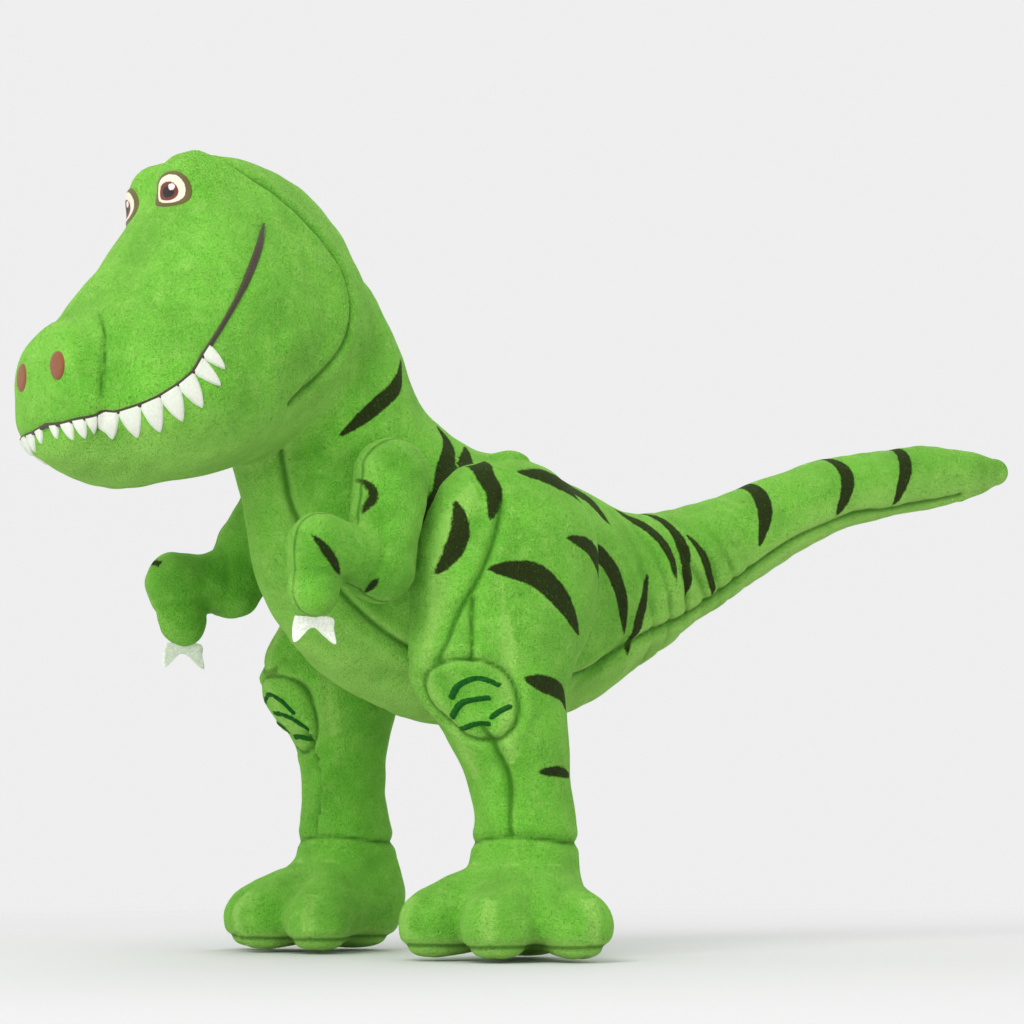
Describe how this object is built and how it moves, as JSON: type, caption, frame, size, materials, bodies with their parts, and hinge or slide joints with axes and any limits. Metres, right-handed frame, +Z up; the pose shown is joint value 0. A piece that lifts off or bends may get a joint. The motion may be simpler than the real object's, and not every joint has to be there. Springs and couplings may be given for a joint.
{
  "type": "stuffed_dinosaur",
  "caption": "Green plush two-legged dinosaur with stitched eyes, nostrils, smile and teeth, printed dark stripes, felt claws and a long raised tail",
  "frame": {"origin": "Middle of the bounding box, on the surface the feet stand on", "axes": "The toy faces -Y with its tail towards +Y, its left side is +X and +Z is up"},
  "size_m": [0.2381, 0.5866, 0.3813],
  "materials": {
    "green_plush": "short-pile plush with a mottled nap and printed dark stripes",
    "pale_plush": "short-pile plush, paler yellow-green",
    "filling": "polyester fibre filling",
    "pellet_cloth": "closed cotton bag of plastic pellets",
    "white_felt": "thin white felt",
    "white_thread": "white satin-stitch embroidery",
    "brown_thread": "dark brown embroidery",
    "nostril_thread": "reddish brown embroidery",
    "eye_thread": "cream, brown, maroon and black embroidery"
  },
  "bodies": {
    "torso": {"belly_panel": "pale_plush", "torso_panel_left": "green_plush", "torso_panel_right": "green_plush", "torso_stuffing": "filling"},
    "neck": {"neck_panel_left": "green_plush", "neck_panel_right": "green_plush", "neck_stuffing": "filling"},
    "head": {"nape_panel_left": "green_plush", "nape_panel_right": "green_plush", "face_panel_left": "green_plush", "face_panel_right": "green_plush", "back_of_head_panel_left": "green_plush", "back_of_head_panel_right": "green_plush", "jaw_panel": "pale_plush", "head_stuffing": "filling", "mouth_line": "brown_thread", "teeth_left": "white_thread", "teeth_right": "white_thread", "eye_left": "eye_thread", "eye_right": "eye_thread", "nostril_left": "nostril_thread", "nostril_right": "nostril_thread"},
    "tail_base": {"tail_base_underside": "pale_plush", "tail_base_panel_left": "green_plush", "tail_base_panel_right": "green_plush", "tail_base_stuffing": "filling"},
    "tail_end": {"tail_end_underside": "pale_plush", "tail_end_panel_left": "green_plush", "tail_end_panel_right": "green_plush", "tail_end_stuffing": "filling"},
    "arm_left": {"arm_panel_outer_left": "green_plush", "arm_panel_inner_left": "green_plush", "arm_stuffing_left": "filling", "claws_left": "white_felt"},
    "leg_left": {"knee_patch_left": "green_plush", "thigh_panel_outer_left": "green_plush", "thigh_panel_inner_left": "green_plush", "shin_panel_front_left": "green_plush", "shin_panel_back_left": "green_plush", "leg_stuffing_left": "filling", "foot_sole_left": "pale_plush", "foot_upper_left": "green_plush", "pellet_pouch_left": "pellet_cloth", "foot_stuffing_left": "filling"},
    "arm_right": {"arm_panel_outer_right": "green_plush", "arm_panel_inner_right": "green_plush", "arm_stuffing_right": "filling", "claws_right": "white_felt"},
    "leg_right": {"knee_patch_right": "green_plush", "thigh_panel_outer_right": "green_plush", "thigh_panel_inner_right": "green_plush", "shin_panel_front_right": "green_plush", "shin_panel_back_right": "green_plush", "leg_stuffing_right": "filling", "foot_sole_right": "pale_plush", "foot_upper_right": "green_plush", "pellet_pouch_right": "pellet_cloth", "foot_stuffing_right": "filling"}
  },
  "joints": [
    {"name": "neck_nod", "type": "hinge", "parent": "torso", "child": "neck", "pos_m": [-0.0129, -0.1187, 0.2355], "axis": [1, 0, 0], "range_deg": [-10, 4], "stiffness_Nm_per_rad": 4},
    {"name": "head_turn", "type": "hinge", "parent": "neck", "child": "head", "pos_m": [-0.0129, -0.1287, 0.255], "axis": [0, -0.2957, 0.9553], "range_deg": [-25, 12], "stiffness_Nm_per_rad": 2},
    {"name": "arm_swing_left", "type": "hinge", "parent": "torso", "child": "arm_left", "pos_m": [0.0391, -0.1207, 0.226], "axis": [-1, 0, 0], "range_deg": [0, 25], "stiffness_Nm_per_rad": 0.15},
    {"name": "arm_swing_right", "type": "hinge", "parent": "torso", "child": "arm_right", "pos_m": [-0.0649, -0.1307, 0.222], "axis": [-1, 0, 0], "range_deg": [0, 25], "stiffness_Nm_per_rad": 0.15},
    {"name": "leg_swing_left", "type": "hinge", "parent": "torso", "child": "leg_left", "pos_m": [0.0211, -0.0627, 0.176], "axis": [-1, 0, 0], "range_deg": [-6, 10], "stiffness_Nm_per_rad": 8},
    {"name": "leg_swing_right", "type": "hinge", "parent": "torso", "child": "leg_right", "pos_m": [-0.0469, -0.0777, 0.172], "axis": [-1, 0, 0], "range_deg": [0, 10], "stiffness_Nm_per_rad": 8},
    {"name": "tail_lift", "type": "hinge", "parent": "torso", "child": "tail_base", "pos_m": [-0.0129, 0.0333, 0.182], "axis": [1, 0, 0], "range_deg": [-10, 10], "stiffness_Nm_per_rad": 2},
    {"name": "tail_sway", "type": "hinge", "parent": "tail_base", "child": "tail_end", "pos_m": [-0.0129, 0.1488, 0.23], "axis": [0, -0.4067, 0.9135], "range_deg": [-14, 14], "stiffness_Nm_per_rad": 0.3}
  ]
}
